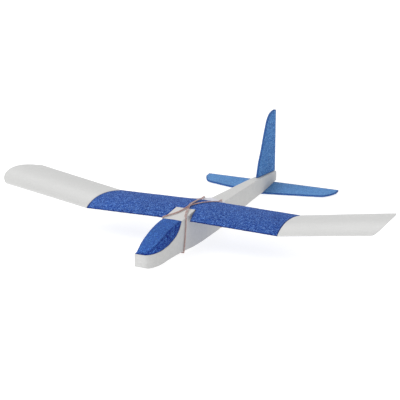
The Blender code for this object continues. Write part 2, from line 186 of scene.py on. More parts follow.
def crumble(item, bead, dent, breakOut, wander=0.0):
    # beads stand proud by dent, break out of edges by up to breakOut, and the face wanders a little
    mesh = item.data
    bm = bmesh.new()
    bm.from_mesh(mesh)
    sharp = set()
    for edge in bm.edges:
        if len(edge.link_faces) == 2 and edge.calc_face_angle(0) > foamRelief["sharpAngle"]:
            sharp.update(v.index for v in edge.verts)
    bm.free()
    tree = kdtree.KDTree(max(1, len(sharp)))
    for i in sharp:
        tree.insert(mesh.vertices[i].co, i)
    tree.balance()
    normals = [Vector(n.vector) for n in mesh.vertex_normals]
    edgeShare = mesh.attributes.new("edgeShare", "FLOAT", "POINT")
    reach = foamRelief["edgeReach"] * mm
    shares = np.zeros(len(mesh.vertices), np.float32)
    moved = []
    for i, vertex in enumerate(mesh.vertices):
        spot = vertex.co / (bead * mm)
        distances, centres = noise.voronoi(spot)
        gone = noise.cell(centres[0] * 7.3 + Vector((seed, 0, 0))) * 0.5 + 0.5
        dome = min(1.0, max(0.0, (distances[1] - distances[0]) * 2.5))
        near = math.exp(-((tree.find(vertex.co)[2] / reach) ** 2)) if sharp else 0.0
        shares[i] = near
        lift = -dent * (1 - dome) - breakOut * near * max(0.0, gone) * (0.3 + 0.7 * dome)
        lift += wander * noise.noise(vertex.co / (28 * mm))
        moved.append(vertex.co + normals[i] * lift * mm)
    for vertex, place in zip(mesh.vertices, moved):
        vertex.co = place
    edgeShare.data.foreach_set("value", shares)
    mesh.shade_smooth()
    mesh.set_sharp_from_angle(angle=foamRelief["shadeAngle"])
    mesh.update()


# ---- foam, rubber and plastic


def addNode(tree, kind, places=None, **settings):
    node = tree.nodes.new(kind)
    for key, value in settings.items():
        setattr(node, key, value)
    for socket, value in (places or {}).items():
        if isinstance(value, bpy.types.NodeSocket):
            tree.links.new(value, node.inputs[socket])
        else:
            node.inputs[socket].default_value = value
    return node


def math2(tree, operation, first, second):
    return addNode(tree, "ShaderNodeMath", {0: first, 1: second}, operation=operation).outputs[0]


def spread(tree, value, low, high, bottom=0.0, top=1.0):
    places = {"Value": value, "From Min": low, "From Max": high, "To Min": bottom, "To Max": top}
    return addNode(tree, "ShaderNodeMapRange", places).outputs["Result"]


def mixColour(tree, share, first, second, blend="MIX"):
    node = addNode(tree, "ShaderNodeMix", None, data_type="RGBA", blend_type=blend)
    for socket, value in ((0, share), (6, first), (7, second)):
        if isinstance(value, bpy.types.NodeSocket):
            tree.links.new(value, node.inputs[socket])
        else:
            node.inputs[socket].default_value = value if socket == 0 else (*value, 1.0)
    return node.outputs[2]


def startMaterial(name):
    material = bpy.data.materials.new(name)
    material.use_nodes = True
    tree = material.node_tree
    return material, tree, tree.nodes["Principled BSDF"]


def addBump(tree, shader, height, strength, distance):
    bump = addNode(tree, "ShaderNodeBump", {"Height": height})
    bump.inputs["Strength"].default_value = strength
    bump.inputs["Distance"].default_value = distance
    tree.links.new(bump.outputs["Normal"], shader.inputs["Normal"])


def makeGroup(name, takes, gives):
    group = bpy.data.node_groups.new(name, "ShaderNodeTree")
    for label, default in takes.items():
        socket = group.interface.new_socket(label, in_out="INPUT", socket_type="NodeSocketFloat")
        socket.default_value = default
    for label in gives:
        group.interface.new_socket(label, in_out="OUTPUT", socket_type="NodeSocketFloat")
    return group, group.nodes.new("NodeGroupInput").outputs, group.nodes.new("NodeGroupOutput").inputs


def vectorMath(tree, operation, first, second):
    places = {0: first, ("Scale" if operation == "SCALE" else 1): second}
    return addNode(tree, "ShaderNodeVectorMath", places, operation=operation).outputs[0]


def addNoise(tree, place, scale, detail, **more):
    places = {"Vector": place, "Scale": scale, "Detail": detail, **more}
    return addNode(tree, "ShaderNodeTexNoise", places)


def makeBeadGroup():
    # expanded beads cut through by a hot wire: a tone per bead, the gaps between, and bright flecks that
    # are painted glints
    takes = {"Bead Size": 3.0, "Unevenness": 0.5, "Gap Width": 0.1}
    group, given, out = makeGroup("foamBeads", takes, ("Tone", "Gap", "Glint", "Pit", "Mottle", "Height"))
    place = addNode(group, "ShaderNodeTexCoord").outputs["Object"]
    perMetre = math2(group, "DIVIDE", 1000.0, given["Bead Size"])
    spot = vectorMath(group, "SCALE", place, perMetre)
    wobble = addNoise(group, spot, 1.1, 2.0)
    centred = vectorMath(group, "SUBTRACT", wobble.outputs["Color"], (0.5, 0.5, 0.5))
    bent = vectorMath(group, "ADD", spot, vectorMath(group, "SCALE", centred, given["Unevenness"]))
    inCells = {"Vector": bent, "Scale": 1.0}
    cells = addNode(group, "ShaderNodeTexVoronoi", inCells)
    walls = addNode(group, "ShaderNodeTexVoronoi", inCells, feature="DISTANCE_TO_EDGE")
    fine = addNoise(group, bent, 2.3, 2.0, Roughness=0.7)
    grit = addNoise(group, spot, 7.0, 2.0)
    broad = addNoise(group, place, 26.0, 3.0)
    parts = addNode(group, "ShaderNodeSeparateColor", {0: cells.outputs["Color"]}).outputs
    gap = spread(group, walls.outputs["Distance"], 0.0, given["Gap Width"], 1.0, 0.0)
    bright = math2(group, "ADD", fine.outputs["Fac"], math2(group, "MULTIPLY", parts["Green"], 0.16))
    dark = math2(group, "SUBTRACT", fine.outputs["Fac"], math2(group, "MULTIPLY", parts["Blue"], 0.16))
    group.links.new(parts["Red"], out["Tone"])
    group.links.new(gap, out["Gap"])
    group.links.new(spread(group, bright, 0.56, 0.74), out["Glint"])
    group.links.new(spread(group, dark, 0.42, 0.26), out["Pit"])
    group.links.new(spread(group, broad.outputs["Fac"], 0.3, 0.7), out["Mottle"])
    dome = spread(group, walls.outputs["Distance"], 0.0, 0.35)
    rough = math2(group, "MULTIPLY", grit.outputs["Fac"], 0.25)
    group.links.new(math2(group, "ADD", dome, rough), out["Height"])
    return group


beadGroup = makeBeadGroup()


def foamMaterial(name, look):
    material, tree, shader = startMaterial(name)
    beads = addNode(tree, "ShaderNodeGroup", None, node_tree=beadGroup)
    for label in ("Bead Size", "Unevenness", "Gap Width"):
        beads.inputs[label].default_value = look[label]
    seen = beads.outputs
    colour = mixColour(tree, seen["Tone"], look["dark"], look["middle"])
    # painted glints: bright flecks where the cut bead walls would catch the light
    colour = mixColour(tree, math2(tree, "MULTIPLY", seen["Glint"], look["glints"]), colour, look["light"])
    colour = mixColour(tree, math2(tree, "MULTIPLY", seen["Pit"], look["pits"]), colour, look["shadow"])
    colour = mixColour(tree, math2(tree, "MULTIPLY", seen["Gap"], look["gaps"]), colour, look["shadow"])
    # painted light: faces that look up are tinted towards a painted top-light colour, mostly lighter than
    # the cut sides, and faces near an edge are darkened with painted shade
    up = addNode(tree, "ShaderNodeSeparateXYZ", {0: addNode(tree, "ShaderNodeTexCoord").outputs["Normal"]})
    # painted top light, stronger the more a face looks up
    topLight = spread(tree, up.outputs["Z"], 0.2, 0.9, 0.0, look["topLight"])
    colour = mixColour(tree, topLight, colour, look["topLightColour"])
    # painted shade: faces near an edge are mixed towards the shadow colour
    edge = addNode(tree, "ShaderNodeAttribute", None, attribute_name="edgeShare").outputs["Fac"]
    colour = mixColour(tree, math2(tree, "MULTIPLY", edge, look["edges"]), colour, look["shadow"])
    # the hot wire leaves faint upright lines
    place = addNode(tree, "ShaderNodeTexCoord").outputs["Object"]
    drawn = vectorMath(tree, "MULTIPLY", place, (1.0, 1.0, 0.05))
    lines = addNoise(tree, drawn, 420.0, 3.0).outputs["Fac"]
    mottle = spread(tree, seen["Mottle"], 0.0, 1.0, 1 - look["mottle"], 1 + look["mottle"])
    mottle = math2(tree, "MULTIPLY", mottle, spread(tree, lines, 0.35, 0.65, 1 - look["lines"], 1.0))
    shade = addNode(tree, "ShaderNodeCombineColor", {"Red": mottle, "Green": mottle, "Blue": mottle})
    node = addNode(tree, "ShaderNodeMix", None, data_type="RGBA", blend_type="MULTIPLY")
    node.inputs[0].default_value = 1.0
    tree.links.new(colour, node.inputs[6])
    tree.links.new(shade.outputs[0], node.inputs[7])
    tree.links.new(node.outputs[2], shader.inputs["Base Color"])
    rough = spread(tree, seen["Tone"], 0.0, 1.0, look["roughness"] - 0.06, look["roughness"] + 0.06)
    tree.links.new(rough, shader.inputs["Roughness"])
    addBump(tree, shader, seen["Height"], look["bump"], look["Bead Size"] * mm / 4)
    shader.inputs["Specular IOR Level"].default_value = look["specular"]
    return material


wingBlue = foamMaterial("royalBlueFoam", {
    "Bead Size": 2.0, "Unevenness": 1.0, "Gap Width": 0.14,
    "dark": (0.003, 0.028, 0.240), "middle": (0.020, 0.088, 0.410), "light": (0.23, 0.46, 1.0),
    "shadow": (0.001, 0.008, 0.110), "topLightColour": (0.07, 0.17, 0.44),
    "glints": 0.8, "pits": 0.95, "gaps": 0.45, "topLight": 0.08, "edges": 0.75, "mottle": 0.06, "lines": 0.0,
    "roughness": 0.8, "specular": 0.08, "bump": 0.9,
})
canopyBlue = foamMaterial("canopyFoam", {
    "Bead Size": 2.0, "Unevenness": 1.0, "Gap Width": 0.14,
    "dark": (0.002, 0.010, 0.190), "middle": (0.008, 0.036, 0.350), "light": (0.12, 0.34, 0.86),
    "shadow": (0.002, 0.008, 0.110), "topLightColour": (0.09, 0.25, 0.62),
    "glints": 0.85, "pits": 0.95, "gaps": 0.5, "topLight": 0.26, "edges": 0.35, "mottle": 0.06, "lines": 0.0,
    "roughness": 0.8, "specular": 0.08, "bump": 0.9,
})
tailBlue = foamMaterial("paleBlueSheetFoam", {
    "Bead Size": 2.3, "Unevenness": 1.0, "Gap Width": 0.14,
    "dark": (0.035, 0.150, 0.450), "middle": (0.060, 0.225, 0.560), "light": (0.25, 0.55, 0.92),
    "shadow": (0.006, 0.035, 0.200), "topLightColour": (0.15, 0.32, 0.56),
    "glints": 0.75, "pits": 0.8, "gaps": 0.35, "topLight": 0.4, "edges": 0.8, "mottle": 0.05, "lines": 0.0,
    "roughness": 0.75, "specular": 0.12, "bump": 0.4,
})
bodyWhite = foamMaterial("whiteFoam", {
    "Bead Size": 3.2, "Unevenness": 0.5, "Gap Width": 0.08,
    "dark": (0.56, 0.56, 0.555), "middle": (0.59, 0.59, 0.585), "light": (0.66, 0.66, 0.655),
    "shadow": (0.45, 0.45, 0.445), "topLightColour": (0.56, 0.555, 0.55),
    "glints": 0.3, "pits": 0.2, "gaps": 0.22, "topLight": 0.5, "edges": 0.0, "mottle": 0.012, "lines": 0.03,
    "roughness": 0.58, "specular": 0.25, "bump": 0.12,
})
tipWhite = foamMaterial("wingTipFoam", {
    "Bead Size": 3.2, "Unevenness": 0.5, "Gap Width": 0.08,
    "dark": (0.575, 0.575, 0.57), "middle": (0.60, 0.60, 0.595), "light": (0.66, 0.66, 0.66),
    "shadow": (0.46, 0.46, 0.46), "topLightColour": (0.565, 0.565, 0.555),
    "glints": 0.3, "pits": 0.2, "gaps": 0.22, "topLight": 0.5, "edges": 0.1, "mottle": 0.012, "lines": 0.03,
    "roughness": 0.42, "specular": 0.45, "bump": 0.12,
})
print("materials made")

# ---- wing: two blue centre panels and two turned-up white tips

wing = {
    "chord": 106.0, "camber": 0.062, "camberPlace": 0.4, "thickness": 0.066,
    "trailingEdge": 1.3, "incidence": math.radians(2.4),
    "sectionSteps": 96, "stationStep": 1.3,
    "jointX": 149.5, "jointSkew": 2.5, "centreRise": 4.4, "centreForward": 3.0,
    "tipX": 286.0, "tipRise": 22.3, "tipForward": 4.0, "tipChord": 112.0, "tipRake": 0.8,
    "seam": 0.1,  # half the glue line between panels
    "notchFront": -20.0, "notchRear": 24.6, "notchHalfRear": 15.6, "notchHalfFront": 18.6,
    "notchLow": -30.0, "notchHigh": 40.0,
    "softEnd": 0.25, "softReach": 0.12,  # how far a panel's end is drawn in, and over what length
}
tipEdge = [
    (-4.0, 285.0), (0.0, 289.5), (6.0, 293.5), (20.0, 297.6),
    (45.0, 299.2), (70.0, 297.3), (90.0, 293.2), (112.0, 286.8),
]
tipCurve = smoothPlane(tipEdge, 6)


def wingSection(chord):
    # round the cambered section from the trailing edge over the top and back below
    top, bottom = [], []
    steps = wing["sectionSteps"]
    for i in range(steps + 1):
        s = (i / steps) ** 1.5
        thick = 5 * wing["thickness"] * (
            0.2969 * math.sqrt(s) - 0.126 * s - 0.3516 * s**2 + 0.2843 * s**3 - 0.1036 * s**4
        )
        thick = max(thick * chord, wing["trailingEdge"] / 2 * min(1.0, s * 40))
        place = wing["camberPlace"]
        if s < place:
            share = (2 * place * s - s * s) / place**2
        else:
            share = (1 - 2 * place + 2 * place * s - s * s) / (1 - place) ** 2
        middle = wing["camber"] * chord * share - math.tan(wing["incidence"]) * s * chord
        top.append((s * chord, middle + thick))
        bottom.append((s * chord, middle - thick))
    return list(reversed(top)) + bottom[1:]


def spanPoint(x):
    # forward shift, rise and chord at a distance x from the middle
    if x <= wing["jointX"]:
        out = x / wing["jointX"]
        return wing["centreForward"] * (1 - out), wing["centreRise"] * (1 - out), wing["chord"]
    out = (x - wing["jointX"]) / (wing["tipX"] - wing["jointX"])
    chord = wing["chord"] + (wing["tipChord"] - wing["chord"]) * out
    return wing["tipForward"] * out, wing["tipRise"] * out, chord


def wingRing(side, x, skew=0.0):
    ring = []
    _, _, chord = spanPoint(x)
    for y, z in wingSection(chord):
        place = x - skew * y / chord
        forward, rise, _ = spanPoint(place)
        ring.append((side * place, y - forward, z + rise))
    return ring


def tipRing(side):
    # the bowed outer end, cut back underneath
    ring, topZ = [], {}
    for i, (s, _) in enumerate(wingSection(1.0)):
        x = wing["tipX"]
        for _ in range(3):
            forward, _, chord = spanPoint(x)
            x = lineHeight(tipCurve, s * chord - forward)
        forward, rise, chord = spanPoint(x)
        z = wingSection(chord)[i][1] + rise
        topZ.setdefault(round(s, 6), z)
        ring.append((side * (x - wing["tipRake"] * (topZ[round(s, 6)] - z)), s * chord - forward, z))
    return ring


def shrunk(ring, amount):
    # the ring drawn in towards its own middle line, for a softened end
    count = len(ring)
    found = []
    for i, (x, y, z) in enumerate(ring):
        partner = ring[count - 1 - i]
        gap = partner[2] - z
        move = min(amount, abs(gap) * 0.4) * (1 if gap > 0 else -1)
        inward = amount if i == count // 2 else 0.0
        found.append((x, y + inward, z + move))
    return found


def between(first, last, share):
    return [tuple(Vector(p).lerp(Vector(q), share)) for p, q in zip(first, last)]


def wingPanel(name, first, last, material, length):
    # rings from one end to the other, with both ends slightly softened
    steps = int(length / wing["stationStep"])
    soft, reach = wing["softEnd"], wing["softReach"] / length
    rings = [shrunk(first, soft), between(first, last, reach)]
    rings += [between(first, last, i / steps) for i in range(1, steps)]
    rings += [between(first, last, 1 - reach), shrunk(last, soft)]
    panel = skin(name, rings, ("ladder", "ladder"))
    panel.data.materials.append(material)
    return panel


def notchOutline():
    # one half of the notch round the hump, wider towards the leading edge
    front, rear, half = wing["notchFront"], wing["notchRear"], wing["notchHalfRear"]
    slope = (wing["notchHalfFront"] - half) / (rear + wing["centreForward"])
    return [(-1.0, front), (half + slope * (rear - front), front), (half, rear), (-1.0, rear)]


def makeWing():
    for side, hand in ((1, "Left"), (-1, "Right")):
        root = wingRing(side, wing["seam"])
        joint = wingRing(side, wing["jointX"] - wing["seam"], wing["jointSkew"])
        centre = wingPanel("wingCentre" + hand, root, joint, wingBlue, wing["jointX"])
        notch = [(side * x, y) for x, y in notchOutline()]
        cutAway(centre, notch, wing["notchLow"], wing["notchHigh"])
        crumble(centre, 2.6, 0.10, 0.55)
        start = wingRing(side, wing["jointX"] + wing["seam"], wing["jointSkew"])
        tip = wingPanel("wingTip" + hand, start, tipRing(side), tipWhite, wing["tipX"] - wing["jointX"])
        crumble(tip, 3.2, 0.03, 0.12, 0.12)
        for piece, node, slot in (
            (centre, "wing_centre_", "blue_foam"), (tip, "wing_tip_", "white_foam")
        ):
            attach(piece, "wing")
            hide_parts(node + hand.lower())


def wingHeight(y, x, below=False):
    forward, rise, chord = spanPoint(abs(x))
    section = wingSection(chord)
    half = section[wing["sectionSteps"] :] if below else list(reversed(section[: wing["sectionSteps"] + 1]))
    return lineHeight(half, y + forward) + rise


makeWing()
print("wing made")

# ---- fuselage

body = {
    "half": 15.1, "noseY": -113.0, "seatFront": -11.5, "chinZ": -31.0, "chinRadius": 3.0,
    "leftCorner": (17.0, 32.0), "rightCorner": (1.2, 1.2),
    "taperY": 105.0, "tailY": 394.7, "tailHalf": 3.4, "tailTop": -35.6, "tailFloor": -53.5,
    "tailRadius": 4.5, "seatRear": 93.0, "canopyRear": -21.4, "humpFront": 10.0, "humpRear": 12.7,
    "bellyFlat": (50.0, 118.0), "bellyZ": -45.04, "groove": (118.4, 124.4), "grooveDepth": 2.2,
    "cornerRadius": 0.7, "stationStep": 1.4, "clear": 0.3,
}


def bodyHalf(y, side=-1):
    across, along = body["leftCorner"] if side > 0 else body["rightCorner"]
    ahead = (body["noseY"] + along - y) / along
    if ahead > 0:
        return body["half"] - across + across * math.sqrt(max(0.0, 1 - ahead**2))
    if y < body["taperY"]:
        return body["half"]
    share = (y - body["taperY"]) / (body["tailY"] - body["taperY"])
    return body["half"] + (body["tailHalf"] - body["half"]) * share


def canopySeat():
    rise = [(-66.0, -11.3), (-52.5, -9.2), (-42.4, -6.7), (-34.0, -2.9), (-28.0, 2.0)]
    rise.append((body["canopyRear"], body["humpFront"]))
    return [(body["noseY"], body["seatFront"])] + smoothPlane(rise, 12)


def flatEndZ():
    # the belly's flat follows the line on which the glider stands
    slope = (stand["restZ"] - stand["bellyZ"]) / (stand["restY"] - stand["bellyY"])
    return body["bellyZ"] + slope * (body["bellyFlat"][1] - body["bellyFlat"][0])


def bodyTop():
    top = canopySeat() + [(wing["notchRear"] - body["clear"], body["humpRear"])]
    y = wing["notchRear"] - body["clear"] + 0.02
    while y < body["seatRear"]:
        top.append((y, wingHeight(y, body["half"], True) - body["clear"]))
        y += 4.0
    top += [(body["seatRear"], top[-1][1]), (body["seatRear"] + 2.5, -7.5)]
    top += [(155.0, -12.1), (214.0, -17.0), (300.0, -24.2)]
    radius = body["tailRadius"]
    centreY, centreZ = body["tailY"] - radius, body["tailTop"] - radius
    for angle in range(83, -1, -8):
        turn = math.radians(angle)
        top.append((centreY + radius * math.cos(turn), centreZ + radius * math.sin(turn)))
    return top


def bodyBottom():
    front, radius = body["noseY"], body["chinRadius"]
    line = []
    for angle in range(180, 271, 10):
        turn = math.radians(angle)
        y = front + radius + radius * math.cos(turn)
        line.append((y, body["chinZ"] + radius + radius * math.sin(turn)))
    chin = [(-88.0, -31.2), (-57.0, -33.0), (-17.0, -37.3), (20.0, -42.4)]
    chin.append((body["bellyFlat"][0], body["bellyZ"]))
    line += smoothPlane(chin, 8)
    flatEnd = flatEndZ()
    front, rear = body["groove"]
    line += [(body["bellyFlat"][1], flatEnd), (front + 0.8, flatEnd + body["grooveDepth"])]
    line += [(rear, flatEnd + body["grooveDepth"]), (rear + 0.8, flatEnd - 0.05)]
    floor = body["tailFloor"]
    return line + [(236.0, -49.6), (300.0, -52.0), (321.0, floor), (body["tailY"], floor)]


def bodyStations(top, bottom):
    nose = body["noseY"]
    close = (0, 0.04, 0.15, 0.35, 0.6, 0.95, 1.4, 1.9, 2.5, 3.2, 3.9, 4.6, 5.5, 6.5, 7.6)
    places = [nose + d for d in close]
    y = places[-1]
    while y < body["tailY"] - 5:
        y += body["stationStep"]
        places.append(y)
    places += [y for line in (top, bottom) for y, _ in line if nose < y <= body["tailY"]]
    places = sorted(places)
    kept = [places[0]]
    for y in places[1:]:
        if y - kept[-1] > 0.015:
            kept.append(y)
    return kept


def makeFuselage():
    top, bottom = bodyTop(), bodyBottom()
    rings = []
    for y in bodyStations(top, bottom):
        high, low = lineHeight(top, y), lineHeight(bottom, y)
        left, right = bodyHalf(y, 1), bodyHalf(y)
        corners = [(-right, low), (left, low), (left, high), (-right, high)]
        ring = roundedRing(corners, [body["cornerRadius"]] * 4, (22, 34, 22, 34))
        rings.append([(x, y, z) for x, z in ring])
    fuselage = skin("fuselageFoam", rings)
    fuselage.data.materials.append(bodyWhite)
    crumble(fuselage, 3.2, 0.03, 0.12, 0.1)
    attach(fuselage, "airframe")
    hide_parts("fuselage")


makeFuselage()
print("fuselage made")

# ---- canopy

canopy = {
    "front": -112.4, "inset": 0.4, "crown": 0.6, "lift": 0.1, "stationStep": 1.2, "ridgeRadius": 0.8,
    # y, how far the left and the right ridge are from the middle, and z
    "ridge": [
        (-113.0, 1.5, 10.6, -10.7), (-110.5, 5.0, 11.0, -8.4), (-106.7, 8.7, 11.4, -4.6),
        (-100.4, 11.3, 11.8, -0.8), (-90.8, 12.6, 12.4, 2.5), (-75.0, 12.9, 13.3, 5.9),
        (-60.0, 13.0, 13.9, 8.4), (-40.0, 12.9, 14.4, 10.1), (-21.6, 13.4, 14.6, 10.3),
    ],
}


def makeCanopy():
    seat = canopySeat()
    smooth = smoothLine([(y, left, right) for y, left, right, _ in canopy["ridge"]], 8)
    heights = smoothLine([(y, z, 0) for y, _, _, z in canopy["ridge"]], 8)
    ys = [p[0] for p in smooth]
    lefts, rights, zs = [p[1] for p in smooth], [p[2] for p in smooth], [p[1] for p in heights]
    first, last = canopy["front"], ys[-1]
    stations = [first + d for d in (0, 0.1, 0.3, 0.6, 1.0, 1.5, 2.1, 2.8, 3.6)]
    while stations[-1] < last - canopy["stationStep"]:
        stations.append(stations[-1] + canopy["stationStep"])
    stations.append(last)
    rings = []
    for y in stations:
        left, right, z = (float(np.interp(y, ys, values)) for values in (lefts, rights, zs))
        wideLeft, wideRight = bodyHalf(y, 1) - canopy["inset"], bodyHalf(y) - canopy["inset"]
        left, right = min(left, wideLeft - 0.1), min(right, wideRight - 0.1)
        low = min(lineHeight(seat, y) + canopy["lift"], z - 0.3)
        corners = [
            (-wideRight, low), (wideLeft, low), (left, z),
            ((left - right) / 2, z + canopy["crown"]), (-right, z),
        ]
        radii = [0.3, 0.3, canopy["ridgeRadius"], 6.0, canopy["ridgeRadius"]]
        ring = roundedRing(corners, radii, (20, 14, 11, 11, 14))
        rings.append([(x, y, h) for x, h in ring])
    piece = skin("canopyBlock", rings)
    piece.data.materials.append(canopyBlue)
    crumble(piece, 2.6, 0.10, 0.4)
    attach(piece, "airframe")
    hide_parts("canopy")


makeCanopy()
print("canopy made")

# ---- tail surfaces, cut from thin sheet

tail = {
    "sheet": 3.0, "noseRadius": 0.5, "edgeRadius": 0.3, "step": 1.3,
    "finRear": 392.2, "finLow": -35.2, "finCurveZ": 66.0, "finCurve": 6.85, "finCurveSteps": 14,
    "planeFront": 321.0, "planeRear": 386.0, "planeHalf": 117.5, "planeTop": -53.7,
    "planeCurveX": 104.0, "planeCurveSteps": 16,
}
finFront = [
    (308.5, -24.9), (316.5, -3.0), (327.5, 15.7), (338.5, 37.9), (350.0, 58.3),
    (361.0, 69.0), (372.5, 72.4), (382.0, 72.9),
]
finBack = [(-36.0, 392.2), (68.0, 391.9), (71.3, 391.2), (72.5, 389.0), (72.9, 386.0)]  # z, y


def makeFin():
    front = [(z, y) for y, z in smoothPlane(finFront, 8)]
    front = [(-35.4, tail["finRear"] - 0.5)] + front  # the foot follows the boom's top to the rear
    places = list(np.arange(tail["finLow"], tail["finCurveZ"], tail["step"]))
    steps = tail["finCurveSteps"]  # closer together where the top rounds off
    places += [tail["finCurveZ"] + tail["finCurve"] * (1 - (1 - i / steps) ** 2) for i in range(steps + 1)]
    half = tail["sheet"] / 2
    rings = []
    for z in places:
        start, stop = lineHeight(front, z), lineHeight(finBack, z)
        corners = [(start, -half), (stop, -half), (stop, half), (start, half)]
        radii = [tail["noseRadius"], tail["edgeRadius"], tail["edgeRadius"], tail["noseRadius"]]
        rings.append([(x, y, z) for y, x in roundedRing(corners, radii, (60, 3, 60, 3))])
    piece = skin("finSheet", rings)
    piece.data.materials.append(tailBlue)
    crumble(piece, 1.9, 0.06, 0.25)
    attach(piece, "airframe")
    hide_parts("fin")


def makeTailplane():
    edge = [(0.0, tail["planeFront"]), (6.0, 323.0), (53.0, 334.0), (74.0, 339.0)]
    corner = [(100.0, 346.0), (106.5, 351.0), (114.0, 363.0), (117.5, 373.0)]
    edge += smoothPlane(corner, 8)
    curve, steps = tail["planeCurveX"], tail["planeCurveSteps"]
    inner = list(np.arange(0.0, curve, tail["step"]))
    outer = [curve + (tail["planeHalf"] - curve) * (1 - (1 - i / steps) ** 1.6) for i in range(steps + 1)]
    places = inner + outer
    places = [-x for x in reversed(places)] + places[1:]
    top, low = tail["planeTop"], tail["planeTop"] - tail["sheet"]
    rings = []
    for x in places:
        front, rear = lineHeight(edge, abs(x)), tail["planeRear"]
        corners = [(front, low), (rear, low), (rear, top), (front, top)]
        radii = [tail["noseRadius"], tail["edgeRadius"], tail["edgeRadius"], tail["noseRadius"]]
        rings.append([(x, y, z) for y, z in roundedRing(corners, radii, (48, 3, 48, 3))])
    piece = skin("tailplaneSheet", rings)
    piece.data.materials.append(tailBlue)
    crumble(piece, 1.9, 0.06, 0.25)
    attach(piece, "airframe")
    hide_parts("tailplane")


makeFin()
makeTailplane()
print("tail made")

# ---- strip that keeps the bands out of the trailing edge

guard = {
    "half": 27.0, "front": 94.5, "endRear": 108.5, "peakRear": 118.9,
    "thick": 0.9, "upturn": 0.8, "steps": 40,
    "colour": (0.47, 0.47, 0.55), "scuffed": (0.56, 0.56, 0.62), "roughness": 0.4,
    "cloudScale": 90.0, "grainScale": 1400.0, "bump": 0.15, "bumpDepth": 0.2,
}


def plasticMaterial(name, look):
    material, tree, shader = startMaterial(name)
    place = addNode(tree, "ShaderNodeTexCoord").outputs["Object"]
    cloud = addNoise(tree, place, look["cloudScale"], 4.0).outputs["Fac"]
    grain = addNoise(tree, place, look["grainScale"], 2.0).outputs["Fac"]
    colour = mixColour(tree, spread(tree, cloud, 0.35, 0.65), look["colour"], look["scuffed"])
    tree.links.new(colour, shader.inputs["Base Color"])
    rough = spread(tree, cloud, 0.3, 0.7, look["roughness"] - 0.08, look["roughness"] + 0.12)
    tree.links.new(rough, shader.inputs["Roughness"])
    addBump(tree, shader, grain, look["bump"], look["bumpDepth"] * mm)
    return material


def guardRear(x):
    return guard["peakRear"] + (guard["endRear"] - guard["peakRear"]) * abs(x) / guard["half"]


def makeGuard():
    rings = []
    for i in range(guard["steps"] + 1):
        x = guard["half"] * (2 * i / guard["steps"] - 1)
        wingRear = wing["chord"] - spanPoint(abs(x))[0]
        rear = guardRear(x)
        front = wingHeight(guard["front"], x, True) - body["clear"]
        under = wingHeight(wingRear - 0.01, x, True) - body["clear"]
        tops = [(guard["front"], front), (wingRear, under), (rear, under + guard["upturn"])]
        corners = [(y, z - guard["thick"]) for y, z in tops] + list(reversed(tops))
        ring = roundedRing(corners, [0.25, 3.0, 0.3, 0.3, 3.0, 0.25], (4, 4, 1, 4, 4, 1))
        rings.append([(x, y, z) for y, z in ring])
    piece = skin("edgeGuard", rings)
    piece.data.shade_smooth()
    piece.data.materials.append(plasticMaterial("guardPlastic", guard))
    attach(piece, "wing")
    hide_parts("trailing_edge_guard")


makeGuard()
print("guard made")

# ---- rubber bands

band = {
    "width": 1.1, "thick": 0.85, "cornerRadius": 0.3, "radius": 0.7, "spacing": 1.9, "steps": 9,
    "lowY": -18.3, "lowZ": -37.7, "humpY": (-9.5, -18.3), "corner": 2.6, "bow": 1.2,
    "leads": (((9.2, 6.5), (5.5, 21.0)), ((-3.3, 4.0), (0.9, 21.0))),  # two points over the hump
    "crossing": (2.0, 36.0), "rearX": (-9.0, 20.0), "slack": 0.6, "lift": 0.25, "wander": 14.0,
    "blendStart": (0.0, -9.5, 11.5), "blendWay": (0.0, 0.1585, 0.9874), "blendReach": 8.08,
    "broad": (0.60, 0.42, 0.39), "sideShade": (0.36, 0.20, 0.18), "talc": (0.68, 0.60, 0.58),
    "talcShare": 0.6, "roughness": (0.45, 0.7),
    "dustScale": 260.0, "grainScale": 2200.0, "bump": 0.2, "bumpDepth": 0.1, "glowDepth": 0.8,
}


def humpTop(y):
    return lineHeight(
        [(body["canopyRear"], body["humpFront"]), (wing["notchRear"] - body["clear"], body["humpRear"])], y
    )


